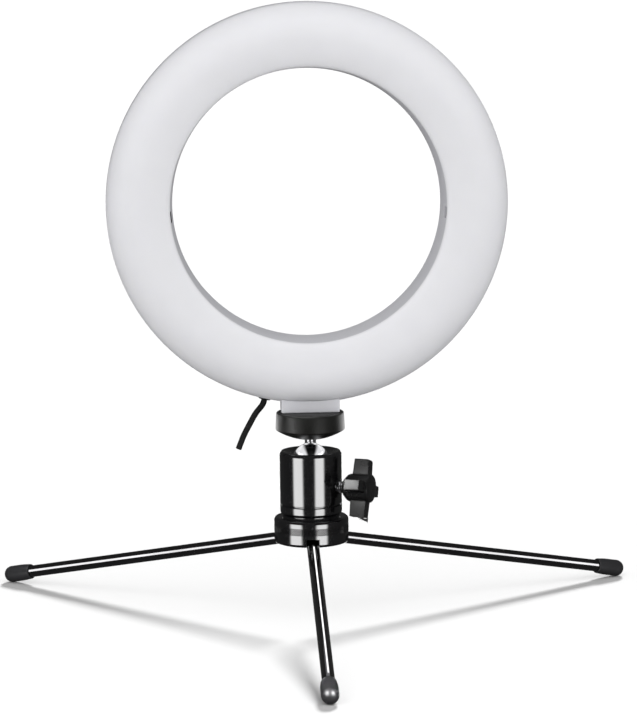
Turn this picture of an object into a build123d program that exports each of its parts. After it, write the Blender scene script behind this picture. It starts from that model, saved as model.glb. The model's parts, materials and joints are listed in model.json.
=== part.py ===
from build123d import *
import math
import os

# Desktop ring light on a ball head and a folding three-leg table stand.
# Millimetres. The origin is on the floor under the ball head's axis, +Z is up, and the lamp
# shines towards -Y. Every threaded pair is drawn as plain cylinders with a running clearance.

# ---- Driving dimensions: ring head ----
RING_CENTRE_Z = 167.6
RING_OUTER_R = 80.0
RING_INNER_R = 54.8
CREST_R = 66.0             # radius of the dome's foremost circle
CREST_Y = -12.0
INNER_EDGE_Y = -8.6        # where the dome ends at the ring's opening
SEAM_Y = 0.5               # where the dome ends at the ring's rim
SEAM_GAP = 0.2
INNER_SEAM_GAP = 0.3
BACK_Y = 10.0
WALL = 1.6
INNER_WALL_DRAFT = 0.0863  # radius lost per millimetre of depth
BACK_OUTER_CORNER_R = 3.0
BACK_INNER_CORNER_R = 4.4
LATCH_SLOT_DROP = 3.7      # latch windows sit this far below the ring's centre
LATCH_SLOT_HEIGHT = 4.5
LATCH_SLOT_DEPTH = 5.5

TAB_WIDTH = 23.3
TAB_DEPTH = 10.0
TAB_CORNER_R = 1.2
TAB_BOTTOM_Z = 84.15
TAB_TOP_Z = 90.0
SOCKET_R = 4.9             # round socket in the tab that holds the threaded insert
SOCKET_TOP_Z = 90.3
INSERT_R = 3.95
INSERT_BOTTOM_Z = 84.35
INSERT_TOP_Z = 89.4

POST_COUNT = 6
POST_CIRCLE_R = 74.9
POST_R = 1.8
POST_END_Y = 5.0
BOSS_R = 3.0
BOARD_REST_Y = 3.3
SCREW_SEAT_Y = 8.0
SHELL_SCREW_R = 0.88
SHELL_SCREW_HEAD_R = 2.0
SHELL_SCREW_TIP_Y = -0.5

BOARD_INNER_R = 57.9
BOARD_OUTER_R = 77.0
BOARD_THICKNESS = 1.2
LEDS_PER_COLOUR = 32
LED_LENGTH = 3.5
LED_WIDTH = 2.8
LED_HEIGHT = 0.8
WARM_CIRCLE_R = 62.8
COOL_CIRCLE_R = 70.2
RESISTOR_COUNT = 16
RESISTOR_SIZE = (1.6, 0.45, 0.8)

CABLE_R = 1.2
CABLE_EXIT_X = -17.8
CABLE_EXIT_Y = 4.6
CABLE_DROPS = [(-2.9, 0.4, -5.6), (-3.2, 0.4, -5.3), (-2.5, 0.3, -4.8), (-2.2, 0.2, -5.5)]
LEAD_WIRE_R = 0.45

# ---- Driving dimensions: ball head ----
STUD_THREAD_R = 3.175      # 1/4-20 camera thread
THREAD_FIT = 0.055         # radial clearance between a screw and its thread
BALL_R = 8.1
BALL_Z = 63.1
BALL_FIT = 0.07
NECK_R = 2.25
DISC_BOTTOM_Z = 76.6
DISC_RIM_Z = 84.0
DISC_BOTTOM_R = 13.9
DISC_TOP_R = 13.6
DISC_DISH_R = 25.5         # spherical radius of its domed underside
DISC_DISH_DEPTH = 3.8
PAD_R = 12.5
PAD_THICKNESS = 0.8
STUD_TOP_Z = 88.9

HOUSING_R = 12.5
HOUSING_TOP_Z = 68.2
HOUSING_BOTTOM_Z = 47.05
HOUSING_BORE_R = 8.4
MOUTH_RIM_R = 11.0
MOUTH_LIP_R = 7.3
MOUTH_LIP_Z = 66.7
CUP_TOP_Z = 61.0
CUP_LOW_Z = 56.55
CUP_HOLE_R = 5.0
CUP_R = 8.3
SPIGOT_TOP_Z = 54.4

KNOB_AZIMUTH = -25.0       # degrees from +X, towards the lamp's front
KNOB_Z = 54.0
KNOB_ROLL = -17.0          # how far the wings are turned from upright
LOCK_SCREW_R = 2.43
LOCK_HOLE_R = 2.5
PLUNGER_TIP = 3.2          # distances along the knob's axis from the ball head's axis
PLUNGER_END = 7.0
KNOB_START = 14.3
KNOB_END = 26.1
KNOB_HUB_R = 5.65
WING_TIP_R = 11.6
WING_THICKNESS = 4.5
WING_START = 17.8
WING_END = 25.3
WING_TAPER = 0.5

# ---- Driving dimensions: table stand ----
HUB_R = 15.0
HUB_TOP_Z = 41.7
HUB_BOTTOM_Z = 31.1
HUB_TOP_CORNER_R = 1.5
HUB_BOTTOM_CORNER_R = 1.5
HUB_CAVITY_R = 12.3
HUB_CAVITY_TOP_Z = 37.8
KNURL_BOTTOM_Z = 36.1
KNURL_TOP_Z = 38.7
KNURL_DEPTH = 0.25
HEX_ACROSS_FLATS = 9.5
HEX_HEAD_TOP_Z = 39.8
HUB_STUD_TOP_Z = 49.3
BLOCK_R = 12.2
BLOCK_BOTTOM_Z = 31.7
BLOCK_TOP_Z = 37.75
SLOT_WIDTH = 5.2
SLOT_INNER_R = 4.8
SLOT_TOP_Z = 35.45
RIM_NOTCH_TOP_Z = 34.55
PLATE_BOTTOM_Z = 30.7
PLATE_R = 11.9
RETAINER_SCREW_R = 1.97
RETAINER_HEAD_R = 3.5
RETAINER_HEAD_HEIGHT = 1.8
RETAINER_SCREW_TOP_Z = 42.8

LEG_R = 2.45
PIVOT_R = 7.5
PIVOT_Z = 32.8
PIN_R = 0.98
PIN_LENGTH = 8.0
FOOT_R = 3.4
FOOT_CENTRE_R = 148.0     # where the centre of each rounded foot stands
CAP_LENGTH = 13.4
CAP_MOUTH_R = 3.05
LEG_AZIMUTHS = {"front": -91.1, "right": 26.5, "left": 145.4}     # degrees from +X

# ---- Derived dimensions ----
LEG_LENGTH = math.hypot(FOOT_CENTRE_R - PIVOT_R, PIVOT_Z - FOOT_R)
LEG_SLOPE = math.atan2(PIVOT_Z - FOOT_R, FOOT_CENTRE_R - PIVOT_R)
CABLE_EXIT_ANGLE = -math.degrees(math.acos(CABLE_EXIT_X / RING_OUTER_R))
BOARD_FRONT_Y = BOARD_REST_Y - 0.05 - BOARD_THICKNESS
DISC_BORE_R = STUD_THREAD_R + THREAD_FIT
DISC_LOW_Z = DISC_BOTTOM_Z - DISC_DISH_DEPTH
EPS = 0.5                  # how far a cutting tool runs past the face it opens


# ---- Helpers ----
def turned(*outline):
    """Solid of revolution about Z from (radius, height) points."""
    points = [(radius, 0, height) for radius, height in outline]
    return revolve(make_face(Polyline(*points, close=True)), Axis.Z)


def tube(outer_r, inner_r, low, high):
    """Hollow cylinder about Z between two heights."""
    return turned((inner_r, low), (outer_r, low), (outer_r, high), (inner_r, high))


def post(radius, low, high):
    """Solid cylinder about Z between two heights."""
    return Pos(0, 0, (low + high) / 2) * Cylinder(radius, high - low)


def along_y(shape):
    """Turns a shape built along Z so that it runs along Y, with z becoming y."""
    return Rot(-90, 0, 0) * shape


def round_corner(face, corner, radius):
    """Rounds the corner of a flat face that lies nearest to the given point."""
    vertex = min(face.vertices(), key=lambda v: (Vector(v) - Vector(*corner)).length)
    return fillet(vertex, radius)


def ring_turned(face):
    """Solid of revolution about the ring's axis; the face is drawn as x = radius, y = depth."""
    return Pos(0, 0, RING_CENTRE_Z) * revolve(face, Axis.Y)


def ring_band(outer_r, inner_r, front_y, back_y):
    """Plain rectangular-section ring about the lamp's axis."""
    corners = [(inner_r, front_y), (outer_r, front_y), (outer_r, back_y), (inner_r, back_y)]
    return ring_turned(make_face(Polyline(*corners, close=True)))


def on_ring(angle):
    """Frame at the ring's centre whose X axis points out at the given clock angle in degrees."""
    return Pos(0, 0, RING_CENTRE_Z) * Rot(0, -angle, 0)


def leg_frame(azimuth):
    """Frame at a leg's pivot: Z runs down the leg and X is the hinge axis."""
    angle = math.radians(azimuth)
    pivot = (PIVOT_R * math.cos(angle), PIVOT_R * math.sin(angle), PIVOT_Z)
    reach = math.cos(LEG_SLOPE)
    down_leg = (reach * math.cos(angle), reach * math.sin(angle), -math.sin(LEG_SLOPE))
    tangent = (-math.sin(angle), math.cos(angle), 0)
    return Plane(origin=pivot, x_dir=tangent, z_dir=down_leg)


def knob_frame():
    """Frame on the ball head's axis: Z runs out along the lock screw and X is up."""
    angle = math.radians(KNOB_AZIMUTH)
    return Plane(origin=(0, 0, KNOB_Z), x_dir=(0, 0, 1), z_dir=(math.cos(angle), math.sin(angle), 0))


# ---- Ring head ----
def dome_arcs(inset):
    """Inner and outer quarter ellipses of the dome's section, drawn inside its outer skin."""
    inner = EllipticalCenterArc(
        (CREST_R, INNER_EDGE_Y),
        CREST_R - RING_INNER_R - inset,
        INNER_EDGE_Y - CREST_Y - inset,
        start_angle=180,
        arc_size=90,
    )
    outer = EllipticalCenterArc(
        (CREST_R, SEAM_Y),
        RING_OUTER_R - CREST_R - inset,
        SEAM_Y - CREST_Y - inset,
        start_angle=270,
        arc_size=90,
    )
    return inner, outer


def dome_filled(inset):
    """The whole space under the dome's skin, back to the seam."""
    inner, outer = dome_arcs(inset)
    back = Polyline(outer @ 1, ((inner @ 0).X, SEAM_Y), inner @ 0)
    return ring_turned(make_face([inner, outer, back]))


def socket_space(clearance):
    """The round socket that stands up into the ring from the tab."""
    return post(SOCKET_R + clearance, TAB_BOTTOM_Z - EPS, SOCKET_TOP_Z + clearance)


def latch_slots():
    """Cutters for the two latch windows in the wall of the ring's opening."""
    slots = []
    for side in (-1, 1):
        cutter = Box(RING_INNER_R, LATCH_SLOT_DEPTH + EPS, LATCH_SLOT_HEIGHT)
        centre_y = INNER_EDGE_Y + INNER_SEAM_GAP - EPS + (LATCH_SLOT_DEPTH + EPS) / 2
        reach = RING_INNER_R / 2 + 4
        slots.append(Pos(side * reach, centre_y, RING_CENTRE_Z - LATCH_SLOT_DROP) * cutter)
    return slots


def post_frames():
    """Frames of the screw posts, spaced evenly round the ring from 3 o'clock."""
    step = 360 / POST_COUNT
    return [on_ring(step * i) * Pos(POST_CIRCLE_R, 0, 0) for i in range(POST_COUNT)]


def front_diffuser():
    """Milky domed cover with two locating lips and a ring of screw posts behind it."""
    skin_inner, skin_outer = dome_arcs(0)
    wall_inner, wall_outer = dome_arcs(WALL)
    edges = [
        skin_inner,
        skin_outer,
        wall_inner,
        wall_outer,
        Line(skin_outer @ 1, wall_outer @ 1),
        Line(skin_inner @ 0, wall_inner @ 0),
    ]
    cover = ring_turned(make_face(edges))
    lip_gap = 0.1
    lip_wall = 1.1
    outer_lip_r = RING_OUTER_R - WALL - 2 * lip_gap
    inner_lip_r = RING_INNER_R + WALL + lip_gap
    cover += ring_band(outer_lip_r, outer_lip_r - lip_wall, SEAM_Y - 3.5, SEAM_Y + 1.6)
    cover += ring_band(inner_lip_r + lip_wall, inner_lip_r, INNER_EDGE_Y - 1, INNER_EDGE_Y + 2)
    inside = dome_filled(WALL / 2)
    for frame in post_frames():
        stem = frame * along_y(post(POST_R, CREST_Y, SEAM_Y))
        cover += stem & inside
        cover += frame * along_y(post(POST_R, SEAM_Y - 1, POST_END_Y))
        cover -= frame * along_y(post(SHELL_SCREW_R + 0.02, SHELL_SCREW_TIP_Y - 0.5, POST_END_Y + EPS))
    cover -= socket_space(0.1)
    lip_relief = Box(TAB_WIDTH + 0.6, 3, TAB_TOP_Z - TAB_BOTTOM_Z + 0.8)
    cover -= Pos(0, SEAM_Y + 1.5, (TAB_BOTTOM_Z + TAB_TOP_Z) / 2) * lip_relief
    for slot in latch_slots():
        cover -= slot & ring_band(CREST_R, RING_INNER_R - 1, INNER_EDGE_Y + 0.01, 0)
    return cover


def back_shell():
    """Channel-shaped rear cover with the mounting tab, board rests and screw bosses."""

    def inner_wall_r(y):
        return RING_INNER_R - INNER_WALL_DRAFT * (y - INNER_EDGE_Y)

    rim_y = SEAM_Y + SEAM_GAP
    lip_y = INNER_EDGE_Y + INNER_SEAM_GAP
    floor_y = BACK_Y - WALL
    outer_back = (RING_OUTER_R, BACK_Y)
    inner_back = (inner_wall_r(BACK_Y), BACK_Y)
    inner_floor = (inner_wall_r(floor_y) + WALL, floor_y)
    outer_floor = (RING_OUTER_R - WALL, floor_y)
    section = make_face(
        Polyline(
            (RING_OUTER_R, rim_y),
            outer_back,
            inner_back,
            (inner_wall_r(lip_y), lip_y),
            (inner_wall_r(lip_y) + WALL, lip_y),
            inner_floor,
            outer_floor,
            (RING_OUTER_R - WALL, rim_y),
            close=True,
        )
    )
    section = round_corner(section, outer_back, BACK_OUTER_CORNER_R)
    section = round_corner(section, inner_back, BACK_INNER_CORNER_R)
    section = round_corner(section, inner_floor, BACK_INNER_CORNER_R - WALL)
    section = round_corner(section, outer_floor, BACK_OUTER_CORNER_R - WALL)
    shell = ring_turned(section)

    ledge_r = BOARD_INNER_R + 1
    shell += ring_band(ledge_r, inner_wall_r(BOARD_REST_Y) + WALL / 2, BOARD_REST_Y, floor_y + 0.2)
    for frame in post_frames():
        shell += frame * along_y(post(BOSS_R, BOARD_REST_Y, floor_y + 0.2))
        shell -= frame * along_y(post(POST_R + 0.1, BOARD_REST_Y - EPS, POST_END_Y + 0.1))
        shell -= frame * along_y(post(SHELL_SCREW_R + 0.27, POST_END_Y, BACK_Y))
        shell -= frame * along_y(post(SHELL_SCREW_HEAD_R + 0.2, SCREW_SEAT_Y, BACK_Y + EPS))

    tab = Pos(0, 0, (TAB_BOTTOM_Z + TAB_TOP_Z) / 2) * Box(TAB_WIDTH, TAB_DEPTH, TAB_TOP_Z - TAB_BOTTOM_Z)
    tab = fillet(tab.edges().filter_by(Axis.Y).sort_by(Axis.Z)[:2], TAB_CORNER_R)
    tab -= dome_filled(-0.1)
    shell += tab
    shell += socket_space(0) & Box(TAB_WIDTH, TAB_DEPTH, 4 * SOCKET_TOP_Z)
    shell -= post(INSERT_R + 0.05, 0, INSERT_TOP_Z + 0.1)
    shell -= Pos(0, 0, TAB_BOTTOM_Z - 5) * Box(TAB_WIDTH, 2 * TAB_DEPTH, 10)

    for slot in latch_slots():
        shell -= slot
    shell -= cable_axis() * post(1.95, RING_OUTER_R - 2 * WALL, RING_OUTER_R + EPS)
    return shell


def threaded_insert():
    """Brass 1/4-20 insert moulded into the tab, with two grooves that grip the plastic."""
    length = INSERT_TOP_Z - INSERT_BOTTOM_Z
    insert = tube(INSERT_R, STUD_THREAD_R + THREAD_FIT, INSERT_BOTTOM_Z, INSERT_TOP_Z)
    for share in (1 / 3, 2 / 3):
        groove_z = INSERT_BOTTOM_Z + share * length
        insert -= tube(INSERT_R + EPS, INSERT_R - 0.25, groove_z - 0.3, groove_z + 0.3)
    return insert


def led_board():
    """Annular circuit board, notched where the diffuser's posts pass."""
    board = ring_band(BOARD_OUTER_R, BOARD_INNER_R, BOARD_FRONT_Y, BOARD_FRONT_Y + BOARD_THICKNESS)
    for frame in post_frames():
        board -= frame * along_y(post(POST_R + 0.7, BOARD_FRONT_Y - EPS, BOARD_REST_Y + EPS))
    return board


def led_circle(radius, first_angle):
    """One colour of surface-mount LEDs, each a low box with a round lit well."""
    led = Box(LED_LENGTH, LED_HEIGHT, LED_WIDTH)
    led -= Pos(0, -LED_HEIGHT / 2, 0) * along_y(Cylinder(1.1, 0.3))
    centre_y = BOARD_FRONT_Y - 0.02 - LED_HEIGHT / 2
    step = 360 / LEDS_PER_COLOUR
    angles = [first_angle + step * i for i in range(LEDS_PER_COLOUR)]
    return [on_ring(angle) * Pos(radius, centre_y, 0) * led for angle in angles]


def chip_resistors():
    """Current-limiting resistors between the two circles of LEDs."""
    centre_y = BOARD_FRONT_Y - 0.02 - RESISTOR_SIZE[1] / 2
    middle_r = (WARM_CIRCLE_R + COOL_CIRCLE_R) / 2
    step = 360 / RESISTOR_COUNT
    chip = Pos(middle_r, centre_y, 0) * Box(*RESISTOR_SIZE)
    return [on_ring(step * (i + 0.25)) * chip for i in range(RESISTOR_COUNT)]


def shell_screws():
    """Self-tapping screws that hold the back shell to the diffuser's posts."""
    head_height = 1.5
    seat = SCREW_SEAT_Y + 0.05
    screw = post(SHELL_SCREW_HEAD_R, seat, seat + head_height) + post(SHELL_SCREW_R, SHELL_SCREW_TIP_Y, seat)
    for turn in (0, 90):
        screw -= Rot(0, 0, turn) * Pos(0, 0, seat + head_height) * Box(2.4, 0.5, 1.4)
    return [frame * along_y(screw) for frame in post_frames()]


def cable_axis():
    """Frame at the ring's centre depth of the cable, with Z pointing out through its exit."""
    angle = math.radians(CABLE_EXIT_ANGLE)
    outward = (math.cos(angle), 0, math.sin(angle))
    return Plane(origin=(0, CABLE_EXIT_Y, RING_CENTRE_Z), x_dir=(0, 1, 0), z_dir=outward).location


def cable_grommet():
    """Rubber grommet in the rim, flanged inside and outside the wall."""
    wall_inside = RING_OUTER_R - WALL
    sleeve_r = 1.9
    flange_r = 2.35
    bore_r = CABLE_R + 0.05
    body = tube(sleeve_r, bore_r, wall_inside - 1.1, RING_OUTER_R + 1)
    body += tube(flange_r, bore_r, wall_inside - 1.1, wall_inside - 0.1)
    body += tube(flange_r, bore_r, RING_OUTER_R + 0.05, RING_OUTER_R + 0.9)
    return cable_axis() * body


def usb_cable():
    """Round power cable that leaves the rim and hangs down beside the ball head."""
    angle = math.radians(CABLE_EXIT_ANGLE)
    outward = Vector(math.cos(angle), 0, math.sin(angle))
    centre = Vector(0, CABLE_EXIT_Y, RING_CENTRE_Z)
    start = centre + outward * (RING_OUTER_R - 5)
    leave = centre + outward * (RING_OUTER_R + 1.5)
    points = [leave]
    corner = centre + outward * RING_OUTER_R
    for drop in CABLE_DROPS:
        corner = corner + Vector(*drop)
        points.append(corner)
    path = Line(start, leave) + Spline(*points, tangents=[outward, Vector(*CABLE_DROPS[-1])])
    profile = Plane(origin=start, z_dir=outward) * Circle(CABLE_R)
    return sweep(profile, path=path)


def lead_wires():
    """Three insulated leads from the end of the cable to the back of the board."""
    wires = []
    start_r = RING_OUTER_R - 5.1
    pad_r = COOL_CIRCLE_R - 1
    frame = on_ring(CABLE_EXIT_ANGLE)
    pad_y = BOARD_REST_Y + LEAD_WIRE_R + 0.05
    for fan in (-1, 0, 1):
        begin = Vector(start_r, CABLE_EXIT_Y + (0.6 if fan == 0 else -0.3), 0.6 * fan)
        end = Vector(pad_r, pad_y, 2.2 * fan)
        path = Spline(begin, end, tangents=[(-1, 0, 0), (-1, 0, 0)])
        profile = Plane(origin=begin, z_dir=(-1, 0, 0)) * Circle(LEAD_WIRE_R)
        wires.append(frame * sweep(profile, path=path))
    return wires


# ---- Ball head ----
def ball_stud():
    """Polished ball with a slim neck and a 1/4-20 threaded end."""
    neck_end_z = DISC_LOW_Z + 0.6
    thread_start_z = neck_end_z + 0.9
    stem = turned(
        (0, BALL_Z),
        (NECK_R, BALL_Z),
        (NECK_R, neck_end_z),
        (STUD_THREAD_R, thread_start_z),
        (STUD_THREAD_R, STUD_TOP_Z - 0.5),
        (STUD_THREAD_R - 0.5, STUD_TOP_Z),
        (0, STUD_TOP_Z),
    )
    return Pos(0, 0, BALL_Z) * Sphere(BALL_R) + stem


def mount_disc():
    """Lock wheel on the stud, domed below, with a shallow seat for its rubber pad."""
    seat_z = DISC_RIM_Z - PAD_THICKNESS + 0.05
    edge = 0.7
    wheel = turned(
        (DISC_BORE_R, DISC_LOW_Z),
        (DISC_BOTTOM_R, DISC_LOW_Z),
        (DISC_BOTTOM_R, DISC_BOTTOM_Z),
        (DISC_TOP_R, DISC_RIM_Z - edge),
        (DISC_TOP_R - edge / 2, DISC_RIM_Z),
        (PAD_R + 0.1, DISC_RIM_Z),
        (PAD_R + 0.1, seat_z),
        (DISC_BORE_R, seat_z),
    )
    return wheel & Pos(0, 0, DISC_LOW_Z + DISC_DISH_R) * Sphere(DISC_DISH_R)


def disc_pad():
    """Rubber washer between the lock wheel and the lamp's tab."""
    top_z = DISC_RIM_Z + 0.1
    return tube(PAD_R, DISC_BORE_R + 0.3, top_z - PAD_THICKNESS, top_z)


def ball_housing():
    """Cylindrical housing with a spherical seat, a flared mouth and the lock screw's hole."""
    top_edge = 0.7
    body = turned(
        (0, HOUSING_BOTTOM_Z),
        (HOUSING_R - 0.25, HOUSING_BOTTOM_Z),
        (HOUSING_R, HOUSING_BOTTOM_Z + 0.25),
        (HOUSING_R, HOUSING_TOP_Z - 1),
        (HOUSING_R - top_edge, HOUSING_TOP_Z),
        (MOUTH_RIM_R, HOUSING_TOP_Z),
        (MOUTH_LIP_R, MOUTH_LIP_Z),
        (0, MOUTH_LIP_Z),
    )
    body -= post(HOUSING_BORE_R, HOUSING_BOTTOM_Z - EPS, BALL_Z - 0.5)
    body -= Pos(0, 0, BALL_Z) * Sphere(BALL_R + BALL_FIT)
    body -= knob_frame().location * post(LOCK_HOLE_R, PLUNGER_END, HOUSING_R + EPS)
    return body


def ball_cup():
    """Ring-shaped lower seat of the ball; its conical underside rides on the plunger."""
    rise = CUP_R - CUP_HOLE_R
    cup = turned(
        (CUP_HOLE_R, CUP_LOW_Z),
        (CUP_R, CUP_LOW_Z + rise),
        (CUP_R, CUP_TOP_Z),
        (CUP_HOLE_R, CUP_TOP_Z),
    )
    return cup - Pos(0, 0, BALL_Z) * Sphere(BALL_R + BALL_FIT)


def ball_head_base():
    """Threaded plug that closes the housing, guides the plunger and takes the hub's stud."""
    neck_r = HOUSING_R - 1.1
    neck_top_z = HUB_TOP_Z + 1.05
    groove_r = HOUSING_R - 0.8
    step_z = HOUSING_BOTTOM_Z - 0.05
    groove_z = step_z - 0.45
    edge = 0.8
    base = turned(
        (0, HUB_TOP_Z + 0.02),
        (neck_r, HUB_TOP_Z + 0.02),
        (neck_r, neck_top_z),
        (HOUSING_R - edge, neck_top_z),
        (HOUSING_R, neck_top_z + edge),
        (HOUSING_R, groove_z),
        (groove_r, groove_z),
        (groove_r, step_z),
        (CUP_R, step_z),
        (CUP_R, SPIGOT_TOP_Z),
        (0, SPIGOT_TOP_Z),
    )
    base -= post(STUD_THREAD_R + THREAD_FIT, HUB_TOP_Z - EPS, HUB_STUD_TOP_Z + 0.8)
    channel_start = PLUNGER_TIP - 0.9
    base -= knob_frame().location * post(LOCK_HOLE_R, channel_start, HOUSING_R - 2)
    return base


def clamp_plunger():
    """Cone-nosed pin that wedges the cup up against the ball."""
    nose_r = 0.7
    shoulder = PLUNGER_TIP + LOCK_SCREW_R - nose_r
    pin = turned(
        (0, PLUNGER_TIP),
        (nose_r, PLUNGER_TIP),
        (LOCK_SCREW_R, shoulder),
        (LOCK_SCREW_R, PLUNGER_END),
        (0, PLUNGER_END),
    )
    return knob_frame().location * pin


def lock_screw():
    """Screw shank, threaded through the housing wall and moulded into the knob."""
    end = KNOB_START + 8.6
    tip = PLUNGER_END + 0.05
    return knob_frame().location * post(LOCK_SCREW_R, tip, end)


def knob_grip():
    """Four-winged knob; the wings taper slightly towards their tips."""
    hub = turned(
        (0, KNOB_START),
        (2.9, KNOB_START),
        (3.3, KNOB_START + 0.4),
        (KNOB_HUB_R, KNOB_START + 2.3),
        (KNOB_HUB_R, KNOB_END - 0.6),
        (KNOB_HUB_R - 0.6, KNOB_END),
        (0, KNOB_END + 0.2),
    )
    side = Polyline(
        (0, 0, WING_START),
        (WING_TIP_R, 0, WING_START + WING_TAPER),
        (WING_TIP_R, 0, WING_END - WING_TAPER),
        (0, 0, WING_END),
        close=True,
    )
    wing = extrude(make_face(side), amount=WING_THICKNESS / 2, both=True)
    wing = fillet(wing.edges().filter_by(Axis.Y).sort_by(Axis.X)[-2:], 1.0)
    wing = fillet(wing.faces().sort_by(Axis.X)[-1].edges(), 0.35)
    grip = hub
    for turn in (0, 90, 180, 270):
        grip += Rot(0, 0, turn) * wing
    grip -= post(LOCK_SCREW_R + 0.03, KNOB_START - EPS, KNOB_START + 8.65)
    return knob_frame().location * Rot(0, 0, KNOB_ROLL) * grip


# ---- Table stand ----
def leg_slots(width, inner_r, outer_r, low, high):
    """One radial slot cutter for each leg."""
    length = outer_r - inner_r
    cutter = Pos(inner_r + length / 2, 0, (low + high) / 2) * Box(length, width, high - low)
    return [Rot(0, 0, azimuth) * cutter for azimuth in LEG_AZIMUTHS.values()]


def hub_shell():
    """Round hub cap with a band recessed for the knurl and a hexagon pocket for the stud."""
    top_corner = (HUB_R, HUB_TOP_Z)
    bottom_corner = (HUB_R, HUB_BOTTOM_Z)
    outline = [
        (HUB_CAVITY_R, HUB_BOTTOM_Z),
        bottom_corner,
        (HUB_R, KNURL_BOTTOM_Z),
        (HUB_R - KNURL_DEPTH, KNURL_BOTTOM_Z),
        (HUB_R - KNURL_DEPTH, KNURL_TOP_Z),
        (HUB_R, KNURL_TOP_Z),
        top_corner,
        (STUD_THREAD_R + THREAD_FIT, HUB_TOP_Z),
        (STUD_THREAD_R + THREAD_FIT, HUB_CAVITY_TOP_Z),
        (HUB_CAVITY_R, HUB_CAVITY_TOP_Z),
    ]
    section = make_face(Polyline(*[(r, 0, z) for r, z in outline], close=True))
    section = round_corner(section, (top_corner[0], 0, top_corner[1]), HUB_TOP_CORNER_R)
    section = round_corner(section, (bottom_corner[0], 0, bottom_corner[1]), HUB_BOTTOM_CORNER_R)
    shell = revolve(section, Axis.Z)
    pocket_top = HEX_HEAD_TOP_Z + 0.05
    pocket = extrude(hexagon(HEX_ACROSS_FLATS + 0.2), pocket_top - HUB_CAVITY_TOP_Z + EPS)
    shell -= Pos(0, 0, HUB_CAVITY_TOP_Z - EPS) * pocket
    for notch in leg_slots(SLOT_WIDTH, SLOT_INNER_R, HUB_R + EPS, HUB_BOTTOM_Z - EPS, RIM_NOTCH_TOP_Z):
        shell -= notch
    return shell


def hexagon(across_flats):
    """Flat hexagon of the given width across its flats."""
    return RegularPolygon(across_flats / 2, 6, major_radius=False)


def hub_stud():
    """Hex-headed 1/4-20 stud that joins the stand to the ball head, tapped from below."""
    head_bottom = BLOCK_TOP_Z + 0.05
    head = Pos(0, 0, head_bottom) * extrude(hexagon(HEX_ACROSS_FLATS), HEX_HEAD_TOP_Z - head_bottom)
    stud = head + post(STUD_THREAD_R, HEX_HEAD_TOP_Z, HUB_STUD_TOP_Z)
    return stud - post(RETAINER_SCREW_R + 0.05, head_bottom - EPS, RETAINER_SCREW_TOP_Z + 0.5)


def pin_seat(width):
    """Cutter for a pin's seat: a groove open at the bottom with a round top."""
    drop = PIVOT_Z - BLOCK_BOTTOM_Z + EPS
    round_top = Rot(90, 0, 0) * Cylinder(width / 2, PIN_LENGTH + 0.4)
    mouth = Pos(0, 0, -drop / 2) * Box(width, PIN_LENGTH + 0.4, drop)
    return Pos(PIVOT_R, 0, PIVOT_Z) * (round_top + mouth)


def leg_block():
    """Slotted block inside the hub that carries the three pivot pins."""
    block = post(BLOCK_R, BLOCK_BOTTOM_Z, BLOCK_TOP_Z)
    block -= post(RETAINER_SCREW_R + 0.13, 0, BLOCK_TOP_Z + EPS)
    for slot in leg_slots(SLOT_WIDTH, SLOT_INNER_R, BLOCK_R + EPS, BLOCK_BOTTOM_Z - EPS, SLOT_TOP_Z):
        block -= slot
    for azimuth in LEG_AZIMUTHS.values():
        block -= Rot(0, 0, azimuth) * pin_seat(2 * PIN_R + 0.04)
    return block


def pivot_pins():
    """The three steel pins that the legs fold about."""
    pin = Rot(90, 0, 0) * Cylinder(PIN_R, PIN_LENGTH)
    return [Rot(0, 0, azimuth) * Pos(PIVOT_R, 0, PIVOT_Z) * pin for azimuth in LEG_AZIMUTHS.values()]


def leg_retainer():
    """Three-lobed plate that closes the pin seats from below."""
    plate = tube(PLATE_R, RETAINER_SCREW_R + 0.13, PLATE_BOTTOM_Z, BLOCK_BOTTOM_Z - 0.02)
    for slot in leg_slots(SLOT_WIDTH + 0.4, SLOT_INNER_R - 0.1, BLOCK_R, PLATE_BOTTOM_Z - EPS, BLOCK_BOTTOM_Z):
        plate -= slot
    return plate


def retainer_screw():
    """Pan-head screw that clamps the plate, the block and the hub together."""
    head_top = PLATE_BOTTOM_Z - 0.02
    head = post(RETAINER_HEAD_R, head_top - RETAINER_HEAD_HEIGHT, head_top)
    head = fillet(head.edges().sort_by(Axis.Z)[0], 0.7)
    for turn in (0, 90):
        slot = Pos(0, 0, head_top - RETAINER_HEAD_HEIGHT) * Box(4.0, 0.8, 1.8)
        head -= Rot(0, 0, turn) * slot
    return head + post(RETAINER_SCREW_R, head_top, RETAINER_SCREW_TOP_Z)


def leg_rod(azimuth):
    """Plated steel rod, rounded at its pivot end and drilled for the pin."""
    rod = Sphere(LEG_R) + post(LEG_R, 0, LEG_LENGTH - 2.5)
    rod -= Rot(0, 90, 0) * Cylinder(PIN_R + 0.05, 3 * LEG_R)
    return leg_frame(azimuth).location * rod


def foot_cap(azimuth):
    """Rubber cap pushed over the end of a leg, with a rounded toe that stands on the floor."""
    mouth = LEG_LENGTH + FOOT_R - CAP_LENGTH
    bore_end = LEG_LENGTH - 2.45
    body = turned(
        (0, mouth),
        (CAP_MOUTH_R - 0.2, mouth),
        (CAP_MOUTH_R, mouth + 0.3),
        (FOOT_R, mouth + 3.5),
        (FOOT_R, LEG_LENGTH),
        (0, LEG_LENGTH),
    )
    body += Pos(0, 0, LEG_LENGTH) * Sphere(FOOT_R)
    body -= post(LEG_R + 0.03, mouth - EPS, bore_end)
    return leg_frame(azimuth).location * body


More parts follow.
